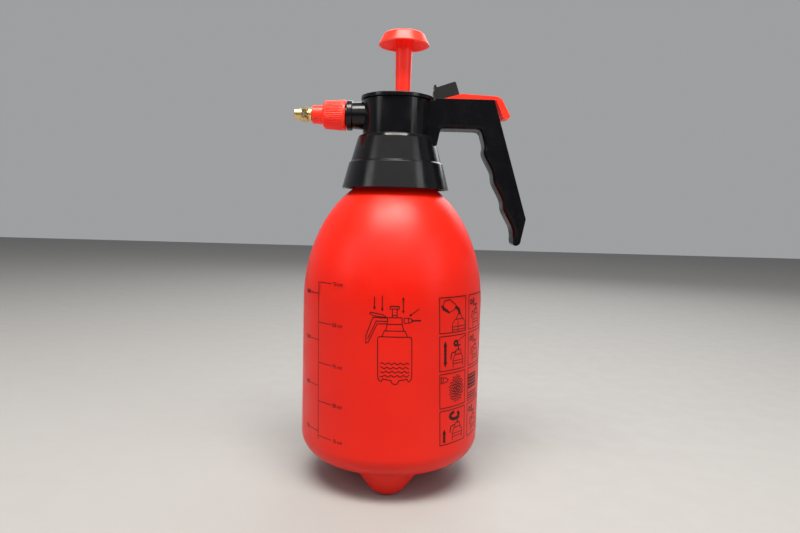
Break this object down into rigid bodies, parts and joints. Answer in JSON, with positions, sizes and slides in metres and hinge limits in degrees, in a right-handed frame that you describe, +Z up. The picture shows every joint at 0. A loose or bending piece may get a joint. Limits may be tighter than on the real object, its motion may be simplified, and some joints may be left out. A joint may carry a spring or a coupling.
{
  "type": "pump pressure sprayer",
  "caption": "Hand-held pump pressure sprayer: rounded plastic bottle, screw-on head with pump knob, side handle with trigger, and an adjustable brass nozzle.",
  "frame": {"origin": "on the surface that the sprayer stands on, under the middle of its outline from the nozzle tip to the back of the handle", "axes": "+Z up along the bottle, +X towards the handle, and the nozzle points along -X"},
  "size_m": [0.1844, 0.1432, 0.3532],
  "materials": {
    "bottle": "satin, slightly translucent blow-moulded plastic",
    "red_parts": "satin moulded plastic",
    "head": "gloss moulded plastic",
    "lock": "satin moulded plastic",
    "inner": "plain moulded plastic",
    "rubber": "moulded seal rubber",
    "brass": "turned brass",
    "steel": "bright wire"
  },
  "bodies": {
    "tank": {"tank": "bottle"},
    "neck_seal": {"neck_gasket": "rubber"},
    "head": {"head_housing": "head", "top_cap": "head", "pump_cylinder": "inner", "cylinder_o_ring": "rubber", "cylinder_foot": "head", "check_valve": "rubber", "valve_body": "inner", "gland_nut": "brass", "gland_o_ring": "rubber", "inlet_pipe": "inner", "delivery_pipe": "inner", "dip_tube": "inner", "strainer": "head", "trigger_pin": "steel", "valve_spring": "steel"},
    "plunger": {"pump_knob": "red_parts", "pump_rod": "red_parts", "piston": "inner", "piston_cup": "rubber"},
    "trigger": {"trigger": "red_parts"},
    "lock": {"lock_slider": "lock"},
    "stem": {"valve_stem": "brass", "poppet_seal": "rubber"},
    "collar_seal": {"nozzle_gasket": "rubber"},
    "collar": {"nozzle_collar": "red_parts", "nozzle_stem": "brass"},
    "cap_seal": {"nozzle_o_ring": "rubber"},
    "cap": {"nozzle_cap": "brass"}
  },
  "joints": [
    {"name": "head_lift", "type": "slide", "parent": "tank", "child": "neck_seal", "axis": [0, 0, 1], "range_m": [0, 0.0076]},
    {"name": "head_unscrew", "type": "hinge", "parent": "neck_seal", "child": "head", "pos_m": [-0.011, 0, 0.26], "axis": [0, 0, 1], "range_deg": [0, 540]},
    {"name": "pump_stroke", "type": "slide", "parent": "head", "child": "plunger", "axis": [0, 0, 1], "range_m": [-0.037, 0.028]},
    {"name": "trigger_press", "type": "hinge", "parent": "head", "child": "trigger", "pos_m": [0.021, 0, 0.2965], "axis": [0, 1, 0], "range_deg": [0, 7.5], "stiffness_Nm_per_rad": 0.18, "springref_deg": -11.46},
    {"name": "valve_travel", "type": "slide", "parent": "head", "child": "stem", "axis": [0, 0, -1], "range_m": [0, 0.0026], "deforming": ["valve_spring"]},
    {"name": "lock_slide", "type": "slide", "parent": "trigger", "child": "lock", "axis": [0.9604, 0, 0.2787], "range_m": [-0.0005, 0.004]},
    {"name": "collar_travel", "type": "slide", "parent": "head", "child": "collar_seal", "axis": [-1, 0, 0], "range_m": [0, 0.0061]},
    {"name": "collar_unscrew", "type": "hinge", "parent": "collar_seal", "child": "collar", "pos_m": [-0.061, 0, 0.2886], "axis": [-1, 0, 0], "range_deg": [0, 1080]},
    {"name": "nozzle_travel", "type": "slide", "parent": "collar", "child": "cap_seal", "axis": [-1, 0, 0], "range_m": [-0.00044, 0.0015]},
    {"name": "nozzle_adjust", "type": "hinge", "parent": "cap_seal", "child": "cap", "pos_m": [-0.087, 0, 0.2886], "axis": [-1, 0, 0], "range_deg": [-160, 545]}
  ],
  "couplings": [
    {"joint": "head_lift", "follows": "head_unscrew", "m_per_rad": 0.00079577},
    {"joint": "valve_travel", "follows": "trigger_press", "m_per_rad": 0.0192},
    {"joint": "collar_travel", "follows": "collar_unscrew", "m_per_rad": 0.00031831},
    {"joint": "nozzle_adjust", "follows": "nozzle_travel", "rad_per_m": 6283.2}
  ]
}
